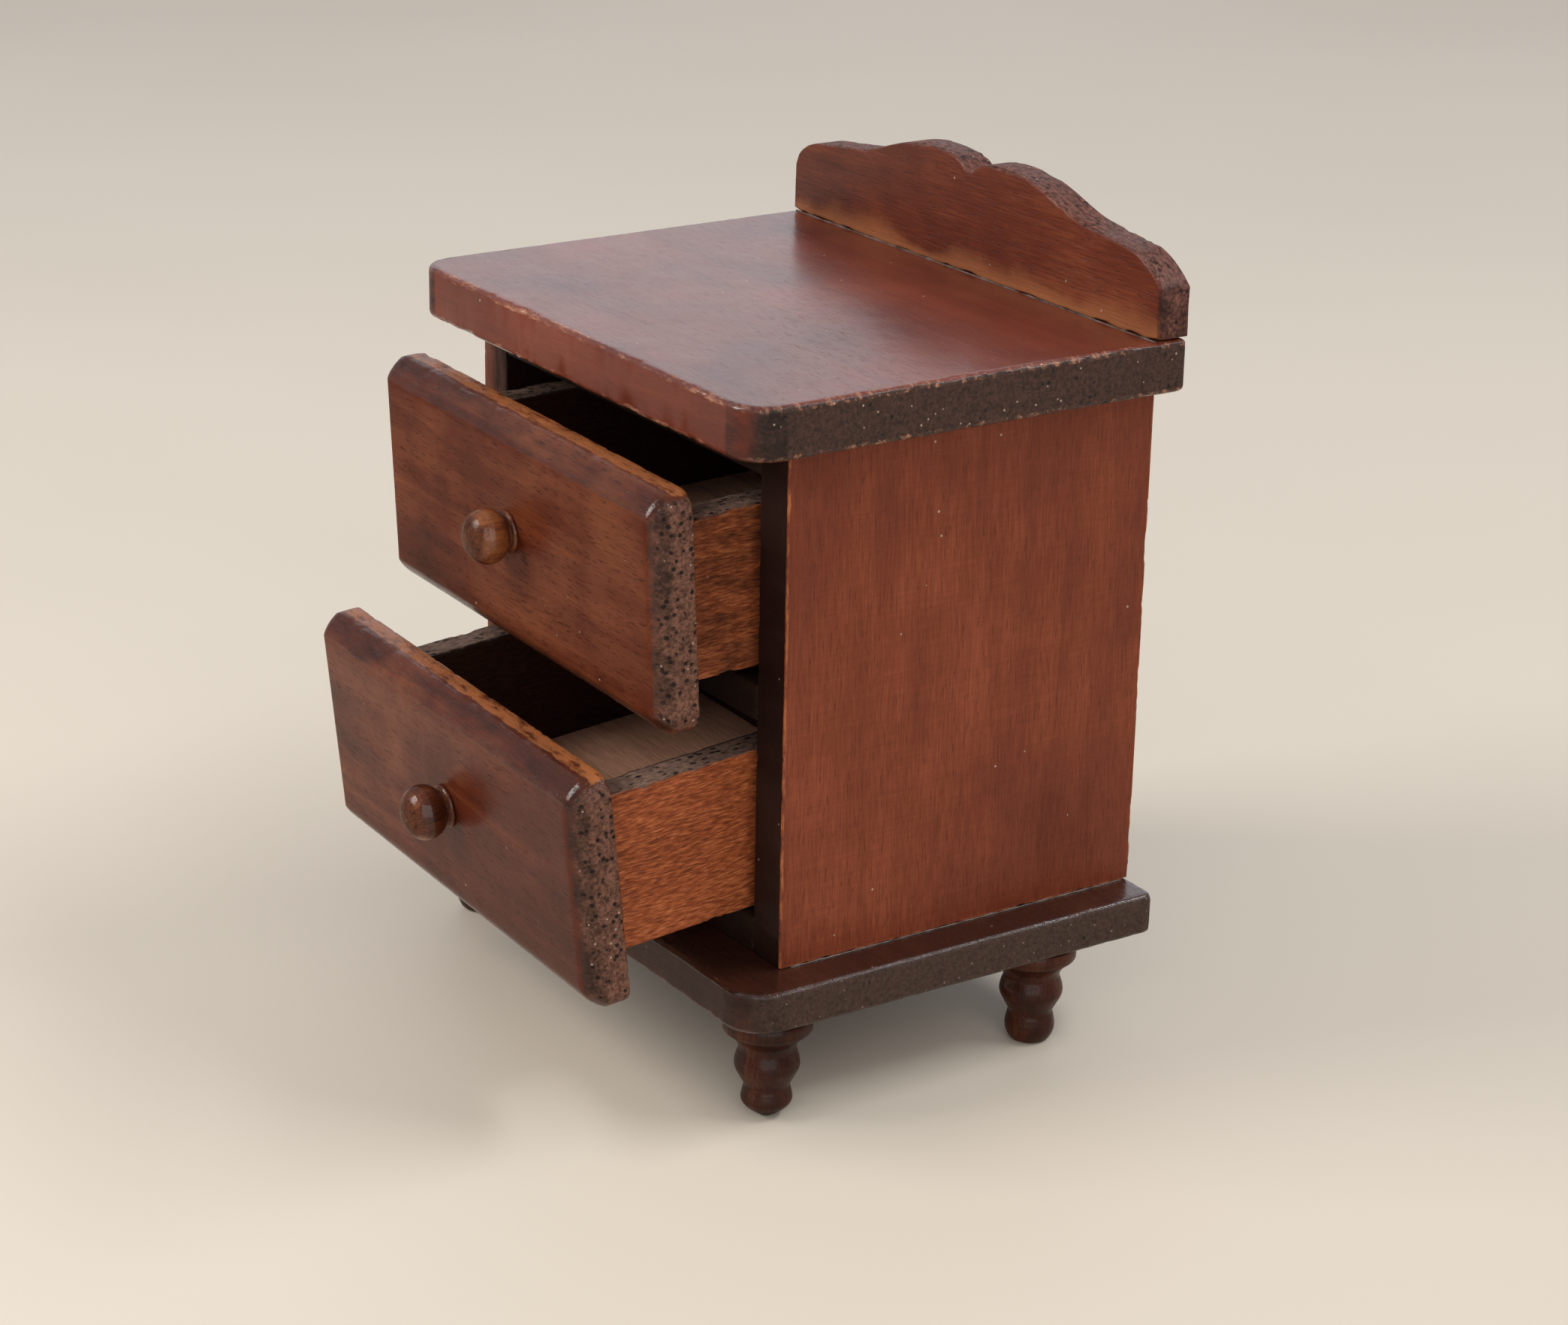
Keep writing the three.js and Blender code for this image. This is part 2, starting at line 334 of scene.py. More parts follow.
class Graph:
    """A material's node tree, with one short call for each kind of node."""

    def __init__(self, name):
        self.material = bpy.data.materials.new(name)
        self.material.use_nodes = True
        self.tree = self.material.node_tree
        self.shader = self.tree.nodes["Principled BSDF"]

    def put(self, socket, value):
        if isinstance(value, bpy.types.NodeSocket):
            self.tree.links.new(value, socket)
        else:
            socket.default_value = value

    def node(self, kind, inputs, output=0, **settings):
        made = self.tree.nodes.new(kind)
        for key, value in settings.items():
            setattr(made, key, value)
        for key, value in inputs.items():
            self.put(made.inputs[key], value)
        return made.outputs[output]

    def attribute(self, name, output="Vector"):
        return self.node("ShaderNodeAttribute", {}, output, attribute_name=name)

    def math(self, operation, a, b=0.0, c=0.0, clamp=False):
        return self.node("ShaderNodeMath", {0: a, 1: b, 2: c}, operation=operation, use_clamp=clamp)

    def vector(self, operation, a, b=(0, 0, 0)):
        return self.node("ShaderNodeVectorMath", {0: a, 1: b}, operation=operation)

    def split(self, vector):
        made = self.tree.nodes.new("ShaderNodeSeparateXYZ")
        self.put(made.inputs[0], vector)
        return made.outputs

    def noise(self, vector, scale, detail=3.0, rough=0.5, bend=0.0):
        return self.node("ShaderNodeTexNoise", {
            "Vector": vector, "Scale": scale, "Detail": detail, "Roughness": rough, "Distortion": bend})

    def grain_noise(self, vector, scales, detail=3.0, rough=0.5, bend=0.0):
        """Noise that is stretched, with a scale for each of the grain's three directions."""
        return self.noise(self.vector("MULTIPLY", vector, scales), 1.0, detail, rough, bend)

    def cells(self, vector, scale):
        """How far it is to the middle of the nearest of many scattered cells."""
        return self.node("ShaderNodeTexVoronoi", {"Vector": vector, "Scale": scale, "Randomness": 1.0})

    def swing(self, pattern, amount, base, clamp=False):
        """base, moved up and down by a pattern that goes from 0 to 1."""
        return self.math("MULTIPLY_ADD", self.math("SUBTRACT", pattern, 0.5), amount, base, clamp=clamp)

    def step(self, value, low, high):
        """0 below low, 1 above high, smooth between; low may be the larger."""
        return self.node("ShaderNodeMapRange", {0: value, 1: low, 2: high}, interpolation_type="SMOOTHSTEP")

    def mix(self, share, a, b):
        made = self.tree.nodes.new("ShaderNodeMix")
        made.data_type = "RGBA"
        self.put(made.inputs[0], share)
        self.put(made.inputs[6], a)
        self.put(made.inputs[7], b)
        return made.outputs[2]

    def ramp(self, value, stops):
        made = self.tree.nodes.new("ShaderNodeValToRGB")
        self.put(made.inputs[0], value)
        elements = made.color_ramp.elements
        while len(elements) < len(stops):
            elements.new(0.5)
        for element, (at, colour) in zip(elements, stops):
            element.position = at
            element.color = (*colour, 1)
        return made.outputs[0]


def face_grain(g, at, stain, figure, streaks, fibres, fleck, brushed, pores):
    """The colour of the wood along the grain, with its fibres, brush marks and open vessels."""
    cloud = g.noise(at, 0.075, 3.0, 0.5, 0.3)
    streak = g.grain_noise(at, (0.04, 0.5, 0.5), 4.0, 0.6, 0.5)
    fibre = g.grain_noise(at, (fleck[0], fleck[1], fleck[1]), 3.0, 0.6)
    brush = g.grain_noise(at, (5.5, 0.3, 0.3), 2.0)
    tone = g.swing(cloud, 0.9 * figure, 0.5)
    tone = g.swing(streak, 0.75 * streaks, tone)
    tone = g.swing(fibre, 0.55 * fibres, tone)
    tone = g.swing(brush, 0.3 * brushed, tone, clamp=True)
    dark, middle, light = stain
    colour = g.ramp(tone, [(0.1, dark), (0.5, middle), (0.9, light)])
    vessel = g.grain_noise(at, (0.9, 9.0, 9.0), 1.0, 0.4)
    vessel = g.math("MULTIPLY", g.step(vessel, 0.63, 0.72), pores, clamp=True)
    colour = g.mix(g.math("MULTIPLY", vessel, 0.55), colour, (*dark, 1))
    return colour, fibre, brush, vessel


def end_grain(g, at, end, ends, end_pores):
    """The colour of the wood across the grain, with its pits, crowded in clumps, and its mottle."""
    pits = g.cells(g.vector("MULTIPLY", at, (1.0, 1.6, 1.6)), 1.0)
    clump = g.noise(at, 0.9, 3.0, 0.6)
    crowd = g.step(clump, 0.56 - 0.1 * end_pores, 0.66 - 0.1 * end_pores)
    hole = g.math("MULTIPLY", g.math("MULTIPLY", g.step(pits, 0.34, 0.20), crowd), end)
    mottle = g.grain_noise(at, (1.6, 3.4, 3.4), 4.0, 0.7)
    colour = g.mix(g.step(mottle, 0.25, 0.75), (*ends[0], 1), (*ends[1], 1))
    colour = g.mix(g.math("MULTIPLY", hole, 0.92), colour, PIT_COLOUR)
    return colour, hole, mottle


def thin_low_band(g, at, end, colour, bare, low_band):
    """The colour with the stain thin up to low_band millimetres from the lower edge."""
    height = g.split(g.attribute("place"))[2]
    reach = g.math("MULTIPLY_ADD", g.noise(at, 0.16), 2.2 * low_band, -0.4 * low_band)
    thin = g.math("MULTIPLY", g.step(height, reach, 0.2), g.math("SUBTRACT", 1.0, end))
    return g.mix(g.math("MULTIPLY", thin, 0.45), colour, (*bare, 1))


def rub_off(g, at, colour, bare):
    """The colour with the stain rubbed off by wear, how far it is off, and how torn the wood is."""
    ragged = g.grain_noise(at, (0.45, 1.5, 1.5), 5.0, 0.72)
    wear = g.attribute("wear", "Fac")
    rub = g.swing(ragged, 1.7, wear)
    rub = g.math("MULTIPLY", g.step(rub, 0.5, 0.85), g.step(wear, 0.02, 0.25))
    colour = g.mix(g.math("MULTIPLY", rub, 0.75), colour, (*bare, 1))
    return colour, rub, g.math("MULTIPLY", ragged, wear)


def darken(g, at, colour):
    """The colour made darker where shade is stored, patchy unless it is full, and how deep it is. The
    darkness is real dark stain and grime on some parts, and painted shade inside the case and the drawers
    and on the upper drawer's sides.
    """
    shade = g.attribute("shade", "Fac")
    patch = g.math("SUBTRACT", g.grain_noise(at, (0.22, 0.8, 0.8), 4.0, 0.6), 0.5)
    patch = g.math("MULTIPLY", patch, g.math("SUBTRACT", 1.0, shade))
    deep = g.math("MULTIPLY", shade, g.math("MULTIPLY_ADD", patch, 9.0, 1.0), clamp=True)
    return g.mix(g.math("MULTIPLY", deep, 0.92), colour, STAIN_AND_SHADE_COLOUR), deep


def strew_dust(g, at, end, colour, dust):
    """The colour with pale specks, grit all over and flakes on open grain, and where the grit is."""
    grit = g.math("MULTIPLY", g.step(g.cells(at, 0.36), 0.042, 0.026), 0.7 * dust)
    flake = g.step(g.cells(at, 1.0), 0.11, 0.07)
    flake = g.math("MULTIPLY", g.math("MULTIPLY", flake, end), 0.6 * dust)
    return g.mix(g.math("MAXIMUM", grit, flake), colour, DUST_COLOUR), grit


def wood(name, stain, bare, ends, rough=0.42, coat=0.4, coat_rough=0.25, specular=0.3,
         figure=1.0, streaks=1.0, fibres=1.0, fleck=(0.35, 6.5), brushed=1.0, pores=1.0, end_pores=1.0,
         dust=1.0, bump=1.0, low_band=0.0):
    """Stained and lacquered wood, reading what mark_wood stores.

    `stain` is a dark, a middle and a light colour, `bare` the wood where the stain is rubbed off, and
    `ends` the dark and the light of the end grain. `fleck` is how many fibres fit in a millimetre along the
    grain and across it. `low_band` is how far up from the lower edge the stain is thin, in millimetres."""
    g = Graph(name)
    at = g.attribute("grain")
    end = g.step(g.attribute("end", "Fac"), 0.55, 0.85)

    face, fibre, brush, vessel = face_grain(g, at, stain, figure, streaks, fibres, fleck, brushed, pores)
    cut, hole, mottle = end_grain(g, at, end, ends, end_pores)
    colour = g.mix(end, face, cut)
    if low_band:
        colour = thin_low_band(g, at, end, colour, bare, low_band)
    colour, rub, torn = rub_off(g, at, colour, bare)
    colour, deep = darken(g, at, colour)
    colour, grit = strew_dust(g, at, end, colour, dust)
    g.put(g.shader.inputs["Base Color"], colour)

    gloss = g.swing(g.noise(at, 0.2, 4.0, 0.6), 0.2, rough)
    for pattern, amount in ((end, 0.12), (vessel, 0.10), (deep, 0.3)):
        gloss = g.math("MULTIPLY_ADD", pattern, amount, gloss)
    gloss = g.math("MULTIPLY_ADD", rub, 0.12, gloss, clamp=True)
    g.put(g.shader.inputs["Roughness"], gloss)
    g.put(g.shader.inputs["Specular IOR Level"], specular)
    film = g.math("MULTIPLY_ADD", end, -0.65 * coat, coat)
    film = g.math("MULTIPLY", g.attribute("lacquer", "Fac"), film)
    g.put(g.shader.inputs["Coat Weight"], film)
    g.put(g.shader.inputs["Coat Roughness"], coat_rough)

    height = g.math("MULTIPLY", fibre, 0.5 * fibres)
    for pattern, amount in (
        (brush, 0.2 * brushed), (vessel, -0.5), (hole, -2.6), (g.math("MULTIPLY", mottle, end), 1.8),
        (torn, 1.2), (g.noise(at, 0.5, 2.0), 0.6), (grit, 1.2),
    ):
        height = g.math("MULTIPLY_ADD", pattern, amount, height)
    dent = g.node("ShaderNodeBump", {"Strength": 0.5, "Distance": 0.00007 * bump, "Height": height})
    g.put(g.shader.inputs["Normal"], dent)
    g.put(g.shader.inputs["Coat Normal"], dent)
    return g.material


def glue_material():
    g = Graph("dried_glue")
    at = g.node("ShaderNodeTexCoord", {}, "Object")
    mottle = g.noise(at, 900.0, 3.0, 0.6)
    colour = g.ramp(mottle, [(0.35, (0.030, 0.017, 0.013)), (0.75, (0.16, 0.115, 0.095))])
    g.put(g.shader.inputs["Base Color"], colour)
    g.put(g.shader.inputs["Roughness"], 0.35)
    return g.material


def pale_floor_material():
    g = Graph("pale_floor")
    at = g.node("ShaderNodeTexCoord", {}, "Object")
    colour = g.ramp(g.noise(at, 6.0), [(0.3, (0.64, 0.57, 0.47)), (0.7, (0.68, 0.61, 0.51))])
    g.put(g.shader.inputs["Base Color"], colour)
    g.put(g.shader.inputs["Roughness"], 0.55)
    return g.material


PANEL = wood(
    "panel_wood",
    stain=((0.080, 0.016, 0.007), (0.152, 0.033, 0.014), (0.265, 0.066, 0.028)),
    bare=(0.40, 0.13, 0.048),
    ends=((0.028, 0.013, 0.010), (0.075, 0.040, 0.030)),
    rough=0.45, coat=0.1, specular=0.12,
    figure=0.8, streaks=0.7, fibres=1.3, brushed=0.7, bump=1.2)
TOP = wood(
    "top_wood",
    stain=((0.075, 0.012, 0.006), (0.135, 0.024, 0.010), (0.200, 0.042, 0.018)),
    bare=(0.46, 0.21, 0.12),
    ends=((0.016, 0.007, 0.005), (0.070, 0.033, 0.023)),
    rough=0.42, coat=0.8, coat_rough=0.18, specular=0.2,
    figure=1.6, fibres=0.6, brushed=0.2, pores=0.4, end_pores=0.4, bump=0.9)
GALLERY = wood(
    "gallery_wood",
    stain=((0.064, 0.011, 0.005), (0.118, 0.023, 0.009), (0.210, 0.054, 0.020)),
    bare=(0.46, 0.18, 0.066),
    ends=((0.018, 0.006, 0.004), (0.210, 0.082, 0.060)),
    coat=0.25, specular=0.12,
    figure=1.8, fibres=1.5, brushed=0.3, end_pores=0.6, low_band=2.8, bump=1.3)
FRONTS = wood(
    "drawer_front_wood",
    stain=((0.028, 0.005, 0.002), (0.088, 0.017, 0.006), (0.190, 0.054, 0.020)),
    bare=(0.44, 0.150, 0.048),
    ends=((0.028, 0.010, 0.006), (0.225, 0.102, 0.067)),
    rough=0.45, coat=0.6, coat_rough=0.12, specular=0.05,
    figure=1.3, streaks=0.9, fibres=0.5, brushed=0.2, end_pores=2.2, bump=2.2)
# The base's pale bare colour, where its arrises are worn, is partly worn wood and partly a painted
# highlight along the arrises.
BASE = wood(
    "base_wood",
    stain=((0.016, 0.005, 0.003), (0.036, 0.011, 0.006), (0.070, 0.024, 0.013)),
    bare=(0.55, 0.40, 0.36),
    ends=((0.026, 0.013, 0.009), (0.066, 0.037, 0.027)),
    coat=1.0, coat_rough=0.10, specular=0.15, end_pores=-0.4, dust=0.4)
# Boards inside the case: their near-black colour is painted shade, standing in for the shade inside the
# case.
INNER_PAINTED_SHADE = wood(
    "inner_board_wood",
    stain=((0.008, 0.003, 0.002), (0.017, 0.007, 0.004), (0.030, 0.013, 0.008)),
    bare=(0.12, 0.06, 0.04),
    ends=((0.010, 0.005, 0.004), (0.035, 0.018, 0.012)),
    rough=0.65, coat=0.0, specular=0.15, dust=0.3)
BOX = wood(
    "drawer_box_wood",
    stain=((0.130, 0.030, 0.010), (0.290, 0.070, 0.022), (0.470, 0.150, 0.054)),
    bare=(0.42, 0.22, 0.12),
    ends=((0.070, 0.038, 0.028), (0.260, 0.160, 0.118)),
    rough=0.58, coat=0.05, specular=0.15,
    figure=0.6, streaks=0.5, fibres=4.0, fleck=(1.1, 7.0), brushed=0.0,
    pores=1.6, end_pores=1.6, bump=1.8, dust=0.3)
# Drawer floors: a tan wood, made paler still as painted light, standing in for the light that falls into
# the open drawers.
FLOORBOARD_PAINTED_LIGHT = wood(
    "drawer_floor_painted_light_wood",
    stain=((0.320, 0.160, 0.100), (0.550, 0.285, 0.185), (0.700, 0.400, 0.280)),
    bare=(0.55, 0.34, 0.22),
    ends=((0.05, 0.028, 0.02), (0.14, 0.09, 0.07)),
    rough=0.6, coat=0.0, specular=0.2, fibres=1.8, brushed=0.0, pores=1.5, bump=1.6, dust=0.3)
TURNED = wood(
    "turned_leg_wood",
    stain=((0.010, 0.002, 0.001), (0.036, 0.008, 0.003), (0.100, 0.030, 0.012)),
    bare=(0.20, 0.08, 0.04),
    ends=((0.012, 0.004, 0.002), (0.045, 0.014, 0.008)),
    coat=0.28, coat_rough=0.10, specular=0.05, figure=1.8, streaks=1.6, dust=0.5, end_pores=-3.0)
KNOB = wood(
    "turned_knob_wood",
    stain=((0.018, 0.004, 0.002), (0.080, 0.019, 0.007), (0.230, 0.075, 0.026)),
    bare=(0.25, 0.10, 0.05),
    ends=((0.022, 0.006, 0.003), (0.120, 0.036, 0.014)),
    rough=0.4, coat=0.6, coat_rough=0.04, specular=0.05,
    figure=2.6, streaks=2.0, dust=0.2, end_pores=-3.0, bump=0.4)
GLUE = glue_material()


def finish_piece(piece, material):
    piece.data.materials.append(material)


# ---------------------------------------------------------------- the case

X, Y, Z = 0, 1, 2


def build_case():
    top = plate("top", "top_board", "carcass", Z, X, radii=(3.0, 0.4, 0.4, 3.0), arris=0.42,
                rough=0.26, seed=1, worn=0.52, grime=0.5, edge_lacquer=0.2, step=0.4)
    finish_piece(top, TOP)
    # Its worn arrises show the pale bare colour, which is partly a painted highlight.
    base = plate("base", "base_board", "carcass", Z, X, radii=(3.2, 0.9, 0.9, 3.2), arris=0.4,
                 rough=0.12, seed=2, worn=0.3, grime=0.3, edge_lacquer=0.15, step=0.5)
    finish_piece(base, BASE)
    # The panels' inner faces are near black as painted shade inside the case; on the right panel this
    # painted shade also covers most of its front edge, which lies in shade under the top and beside the
    # drawers.
    for hand, seed, inner, dark_from in (("left", 3, 1, 0.8), ("right", 4, -1, -0.9)):
        side = plate(f"panel_{hand}", f"side_panel_{hand}", "carcass", X, Z, arris=0.15, rough=0.16,
                     seed=seed, worn=0.66, inner=inner, dark_from=dark_from, band=0.12, step=0.3)
        finish_piece(side, PANEL)
    for node, through, along, seed in (
        ("back_panel", Y, Z, 5), ("bottom_shelf", Z, X, 6),
        ("divider_shelf", Z, X, 7), ("top_shelf", Z, X, 8),
    ):
        board = plate(f"{node}_board", node, "carcass", through, along, arris=0.18, rough=0.1, seed=seed)
        finish_piece(board, INNER_PAINTED_SHADE)


def gallery_outline(half_width, bottom):
    """The gallery seen from the front: low ends, shoulders, and an ogee up to a twin crest with a notch.

    The right-hand end is sanded to a straighter slope than the left-hand one."""
    rise = [(24.6, 4.3), (24.2, 5.6), (22.8, 6.4), (21.0, 6.6)]
    sanded = [(24.6, 4.3), (23.7, 5.3), (22.4, 6.2), (21.0, 6.6)]
    shoulder = [(21.0, 6.6), (19.4, 6.8), (17.4, 7.0), (15.5, 7.25)]
    ogee = [(15.5, 7.25), (12.8, 7.45), (10.5, 9.0), (7.0, 9.4)]
    crest = [(7.0, 9.4), (5.5, 9.59), (3.6, 9.59), (2.4, 9.4)]
    dip = [(2.4, 9.4), (1.5, 9.3), (0.8, 8.9), (0.4, 8.6)]
    halves = []
    for end in (sanded, rise):
        end_height = end[0][1]
        half = [(half_width, bottom + (end_height - bottom) * s) for s in (0.06, 0.3, 0.65, 1.0)]
        for curve, steps in ((end, 12), (shoulder, 12), (ogee, 18), (crest, 10), (dip, 6)):
            half += bezier(*curve, steps)
        halves.append(half)
    steps = 60
    floor = [(-half_width + 2 * half_width * s / steps, bottom) for s in range(1, steps)]
    return halves[0] + [(-x, y) for x, y in reversed(halves[1])] + floor


def build_gallery():
    middle, size = level_box("gallery", LEVEL)
    top_middle, top_size = level_box("top_board", LEVEL)
    seat = middle.z - size.z / 2
    bottom = top_middle.z + top_size.z / 2 - seat
    outline = ShapedOutline(gallery_outline(size.x / 2, bottom))
    profile = eased_profile(size.y, 0.2, band=0.2)
    piece = loft("gallery_board", outline, profile, [X, Z, Y], rough=0.32, seed=9)
    wear = spread(outline, [0.3 * w for w in eased_wear()])
    shade = [0.4 if abs(v.co.x) / MM > size.x / 2 - 0.25 else 0.0 for v in piece.data.vertices]
    mark_wood(piece, X, 9, wear, shade, open_axes=(Z,))
    settle(piece, Matrix.Translation((middle.x, middle.y, seat)), "carcass", "gallery")
    finish_piece(piece, GALLERY)


# (radius, height) up the axis of a leg, from above its foot to below its rim
LEG_PROFILE = [
    (1.98, 1.35), (1.86, 2.05), (1.78, 2.55), (2.1, 3.2), (2.48, 4.0), (2.48, 4.6), (2.3, 5.2), (2.2, 5.6),
    (2.35, 6.1), (2.8, 6.7), (3.35, 7.15),
]
BLUNT_FOOT = [(1.25, 0.0), (1.6, 0.18), (1.9, 0.75)]
POINTED_FOOT = [(0.6, 0.0), (1.05, 0.3), (1.72, 0.85)]


def build_legs():
    for seed, corner in enumerate(("front_left", "front_right", "rear_left", "rear_right"), start=11):
        low, high = (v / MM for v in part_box(f"leg_{corner}"))
        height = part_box("base_board")[0].z / MM - low.z
        foot = POINTED_FOOT if corner == "front_right" else BLUNT_FOOT
        rim = [(3.44, 7.3), (3.44, height - 0.12), (3.36, height - 0.03)]
        piece = turned(f"turned_leg_{corner}", smooth_profile(foot + LEG_PROFILE) + rim)
        mark_wood(piece, Z, seed)
        middle = (low + high) / 2
        settle(piece, Matrix.Translation((middle.x, middle.y, low.z)), "carcass", f"leg_{corner}")
        finish_piece(piece, TURNED)


# ---------------------------------------------------------------- the drawers

STRIP = 1.8  # how thick the square part of a drawer front is, behind its bevel


def front_profile(thickness):
    """From the flat rear face: a small arris, the square strip, then a bevel, deeper above and below."""
    across, upright = 1.7, 2.2
    rows = [(0.7, 0.7, 0, 0), (0.14, 0.14, 0.0, 0.6), (0.04, 0.04, 0.04, 1), (0, 0, 0.14, 1)]
    rows += [(0, 0, STRIP * 0.35, 0.5), (0, 0, STRIP * 0.7, 0.5)]
    rows += [(0, 0, STRIP - 0.12, 0.8), (0.02, 0.03, STRIP, 1)]
    steps = 10
    for j in range(1, steps + 1):
        t = j / steps
        depth = STRIP + (thickness - STRIP) * (1 - (1 - t) ** 2.2)
        rows.append((0.02 + across * t, 0.03 + upright * t, depth, 0.5 * (1 - t)))
    rows.append((across + 0.9, upright + 0.9, thickness, 0))
    return [(dx, dy, -depth, loose) for dx, dy, depth, loose in reversed(rows)]


def build_front(drawer, seed, face_lacquer):
    """The face of a drawer: bare, torn wood at the rear of its upper edge, thick lacquer on its bevels."""
    middle, size = level_box(f"{drawer}_front", TURNS[drawer])
    outline = RoundedRectangle(size.x, size.z, (1.65,) * 4, 0.4)
    piece = loft(f"{drawer}_face", outline, front_profile(size.y), [X, Z, Y], rough=0.17, seed=seed)
    wear, shade, lacquer = [], [], []
    for vertex in piece.data.vertices:
        x, y, z = vertex.co / MM
        on_strip = y > -STRIP - 0.05
        torn = z > size.z / 2 - 0.4 and y > -STRIP * 0.8
        at_end = abs(x) > size.x / 2 - 1.1
        on_bevel = abs(z) > size.z / 2 - 1.7
        wear.append(0.8 if torn else 0.12 if on_strip else 0.0)
        shade.append(0.1 if on_strip else 0.5 if at_end else 0.3 if on_bevel else 0.05)
        lacquer.append(1.0 if at_end or on_bevel else face_lacquer)
    mark_wood(piece, X, seed, wear, shade, lacquer)
    place = TURNS[drawer] @ Matrix.Translation((middle.x, middle.y + size.y / 2, middle.z))
    settle(piece, place, drawer, f"{drawer}_front")
    finish_piece(piece, FRONTS)


def build_knob(drawer, seed):
    middle, size = level_box(f"{drawer}_knob", TURNS[drawer])
    front_middle, front_size = level_box(f"{drawer}_front", TURNS[drawer])
    face = front_middle.y - front_size.y / 2
    radius, half_length, neck = size.x / 2, 1.78, 1.36
    centre = face - (middle.y - size.y / 2) - half_length - 0.03
    profile = [(1.6, 0.02), (1.72, 0.1), (1.72, 0.24), (1.55, 0.36), (1.38, 0.46)]
    start = -math.acos(neck / radius)
    steps = 24
    for j in range(steps + 1):
        angle = start + (math.radians(88) - start) * j / steps
        profile.append((radius * math.cos(angle), centre + half_length * math.sin(angle)))
    piece = turned(f"{drawer}_turned_knob", profile)
    mark_wood(piece, Z, seed)
    place = TURNS[drawer] @ Matrix.Translation((middle.x, face, middle.z))
    place = place @ Matrix.Rotation(math.pi / 2, 4, "X")
    settle(piece, place, drawer, f"{drawer}_knob")
    finish_piece(piece, KNOB)


def build_drawer(drawer, seed, face_lacquer, side_painted_shade):
    build_front(drawer, seed, face_lacquer)
    build_knob(drawer, seed + 1)
    # Each box board's face inside the drawer is near black as painted shade, and side_painted_shade darkens
    # the rest of it as painted shade.
    for part, through, along, inner in (
        ("side_left", X, Y, 1), ("side_right", X, Y, -1), ("back", Y, X, -1),
    ):
        board = plate(f"{drawer}_{part}_board", f"{drawer}_{part}", drawer, through, along, arris=0.14,
                      rough=0.2, seed=seed + 2 + len(part), worn=0.3, inner=inner, shade=side_painted_shade,
                      open_axes=(Z,), step=0.3)
        finish_piece(board, BOX)
    floor = plate(f"{drawer}_bottom_board", f"{drawer}_bottom", drawer, Z, X, arris=0.14, seed=seed + 20)
    finish_piece(floor, FLOORBOARD_PAINTED_LIGHT)


# ---------------------------------------------------------------- glue lines

def glue_line(name, start, end, radius, seed):
    """A thin uneven bead of dried glue between two points. All lengths are in millimetres."""
    start, end = Vector(start), Vector(end)
    along = (end - start).normalized()
    side = Vector((0, 0, 1)).cross(along).normalized()
    up = along.cross(side)
    steps, sides = 90, 8
    vertices, faces = [], []
    for i in range(steps + 1):
        point = start.lerp(end, i / steps)
        wobble = radius * (0.7 + 0.9 * noise.noise(Vector((i * 0.35, seed, 0))))
        for j in range(sides):
            angle = 2 * math.pi * j / sides
            vertices.append(point + side * wobble * math.cos(angle) + up * wobble * math.sin(angle))
    for i in range(steps):
        for j in range(sides):
            k = (j + 1) % sides
            faces.append((i * sides + j, i * sides + k, (i + 1) * sides + k, (i + 1) * sides + j))
    faces.append(tuple(reversed(range(sides))))
    faces.append(tuple(range(steps * sides, (steps + 1) * sides)))
    piece = new_piece(name, vertices, faces)
    piece.data.materials.append(GLUE)
    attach(piece, "carcass")


def build_glue():
    panel_low, panel_high = (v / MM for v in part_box("side_panel_right"))
    gallery_low, _ = (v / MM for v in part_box("gallery"))
    _, top_high = (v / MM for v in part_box("top_board"))
    glue_line("glue_under_panel", (panel_high.x, panel_low.y + 1, panel_low.z),
              (panel_high.x, panel_high.y - 0.5, panel_low.z), 0.11, 1)
    reach = 24.2
    glue_line("glue_under_gallery", (-reach, gallery_low.y, top_high.z),
              (reach, gallery_low.y, top_high.z), 0.13, 2)


# ---------------------------------------------------------------- stage

def area_light(name, toward, distance, size, power, colour):
    """A soft light that looks at the chest's middle from the given direction. The camera doesn't see it."""
    middle = (CAD_LOW + CAD_HIGH) / 2
    direction = Vector(toward).normalized()
    data = bpy.data.lights.new(name, "AREA")
    data.shape = "RECTANGLE"
    data.size, data.size_y = size
    data.energy = power
    data.color = colour
    lamp = bpy.data.objects.new(name, data)
    bpy.context.scene.collection.objects.link(lamp)
    lamp.location = middle + direction * distance
    lamp.rotation_euler = direction.to_track_quat("Z", "Y").to_euler()
    lamp.visible_camera = False


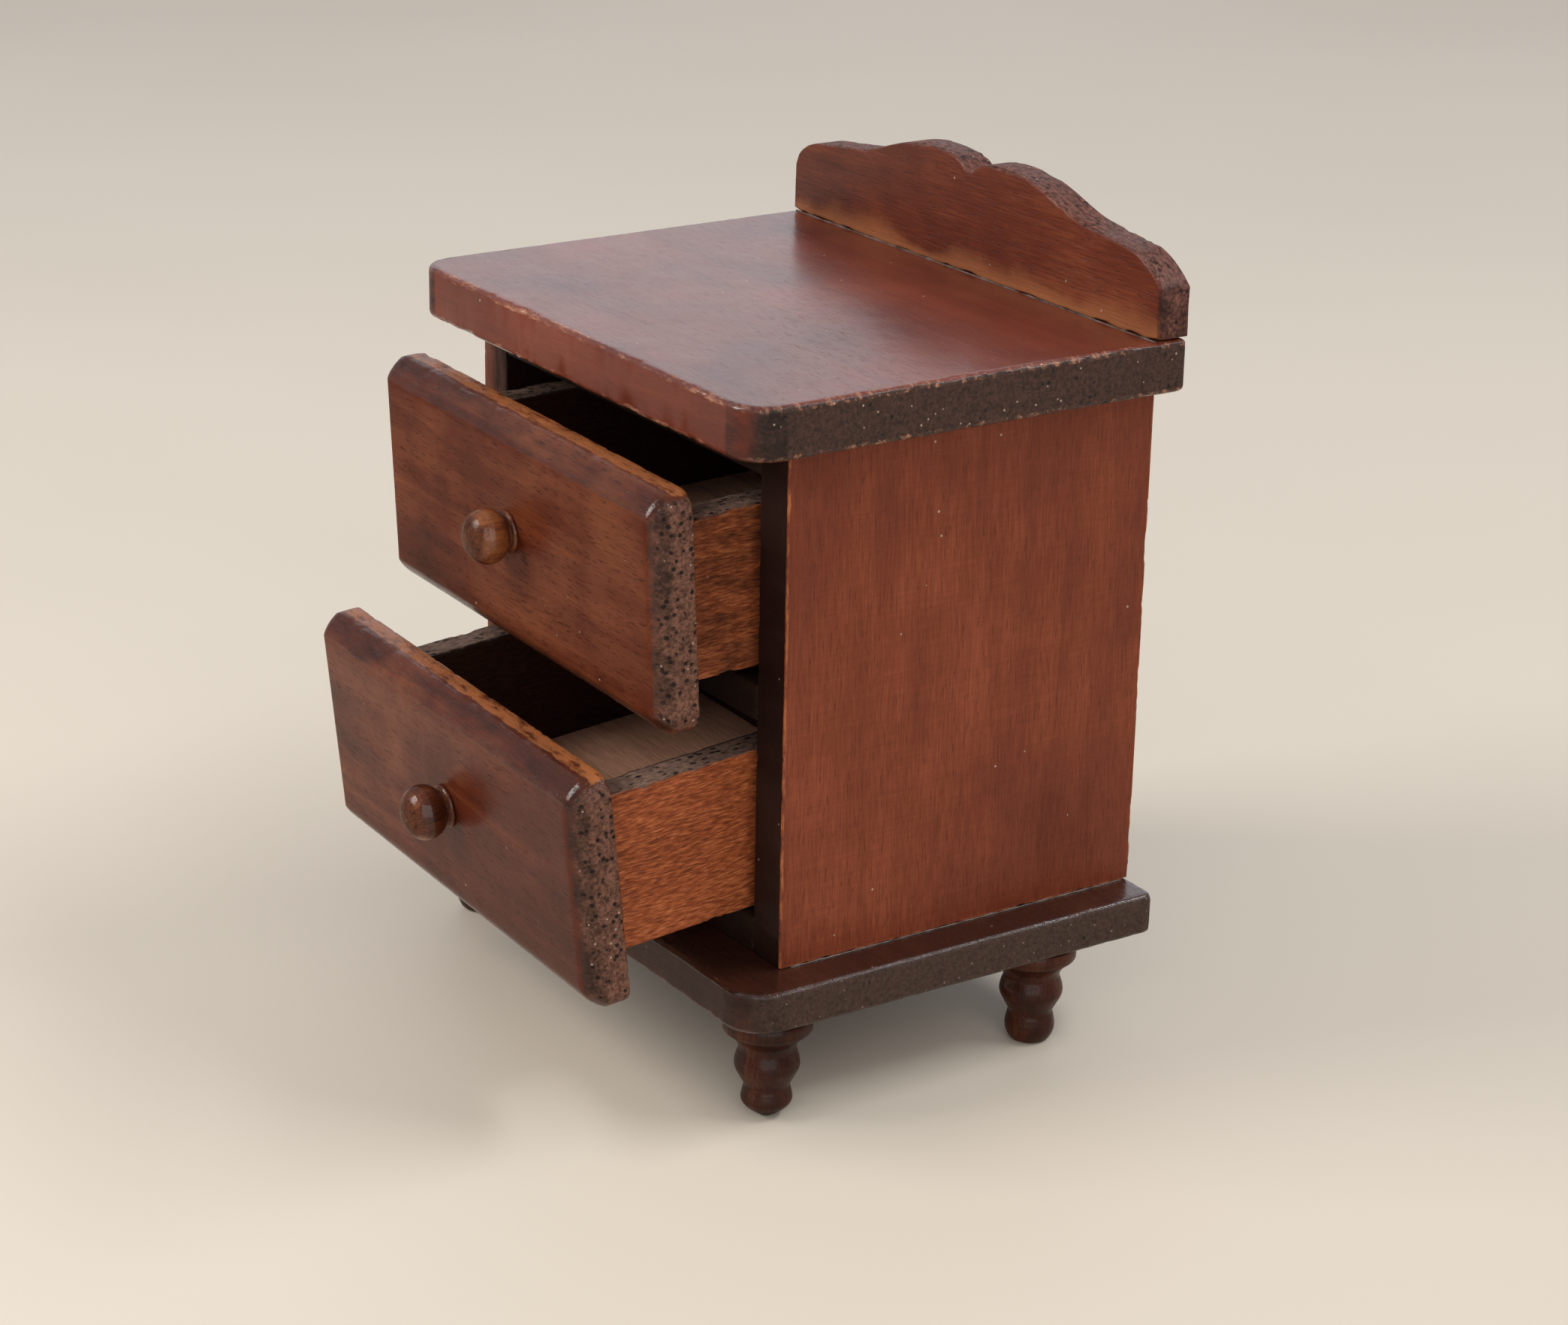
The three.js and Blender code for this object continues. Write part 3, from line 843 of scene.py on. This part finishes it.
def build_stage():
    reach, height = 900, -0.02
    corners = ((-1, -1), (1, -1), (1, 1), (-1, 1))
    vertices = [Vector((x * reach, y * reach, height)) for x, y in corners]
    floor = new_piece("floor", vertices, [(0, 1, 2, 3)])
    floor.data.materials.append(pale_floor_material())
    world = bpy.context.scene.world or bpy.data.worlds.new("studio")
    bpy.context.scene.world = world
    world.use_nodes = True
    background = world.node_tree.nodes["Background"]
    background.inputs["Color"].default_value = (0.88, 0.90, 0.96, 1)
    background.inputs["Strength"].default_value = 0.42
    area_light("window", (-0.35, -0.74, 0.57), 0.5, (0.22, 0.22), 1.6, (1.0, 0.97, 0.93))
    area_light("room", (0.82, -0.42, 0.36), 0.55, (0.60, 0.50), 1.6, (1.0, 0.95, 0.90))
    area_light("ceiling_strip", (0.35, 0.52, 0.78), 0.6, (0.40, 0.09), 1.8, (1.0, 1.0, 1.0))
    area_light("rear_window", (-0.80, 0.52, 0.36), 0.6, (0.60, 0.30), 0.32, (0.94, 0.95, 1.0))
    bpy.context.scene.view_settings.view_transform = "Standard"


AZIMUTH, ELEVATION, ROLL = 56.18, 20.38, 1.13  # degrees
DISTANCE, SHIFT_RIGHT, SHIFT_UP = 292.15, -1.61, -6.0  # millimetres, from the point aimed at
LENS = 83.87
PANEL_MIDDLE = level_box("side_panel_right", LEVEL)[0]
AIM = Vector((0.0, PANEL_MIDDLE.y, PANEL_MIDDLE.z + 0.39))


def build_camera():
    a, e, r = math.radians(AZIMUTH), math.radians(ELEVATION), math.radians(ROLL)
    back = Vector((math.sin(a) * math.cos(e), -math.cos(a) * math.cos(e), math.sin(e)))
    across = Vector((0, 0, 1)).cross(back).normalized()
    up = back.cross(across)
    right = across * math.cos(r) + up * math.sin(r)
    above = up * math.cos(r) - across * math.sin(r)
    data = bpy.data.cameras.new("camera")
    data.lens = LENS
    data.sensor_width = 36.0
    data.clip_start, data.clip_end = 0.01, 10.0
    camera = bpy.data.objects.new("camera", data)
    bpy.context.scene.collection.objects.link(camera)
    place = AIM + back * DISTANCE + right * SHIFT_RIGHT + above * SHIFT_UP
    matrix = Matrix((right, above, back)).transposed().to_4x4()
    matrix.translation = place * MM
    camera.matrix_world = matrix
    bpy.context.scene.camera = camera


build_camera()
build_stage()
build_case()
build_gallery()
build_legs()
# The upper drawer's sides are darker as painted shade under the top; the lower drawer's are not.
build_drawer("upper_drawer", 20, face_lacquer=0.1, side_painted_shade=0.42)
build_drawer("lower_drawer", 30, face_lacquer=0.5, side_painted_shade=0.0)
build_glue()
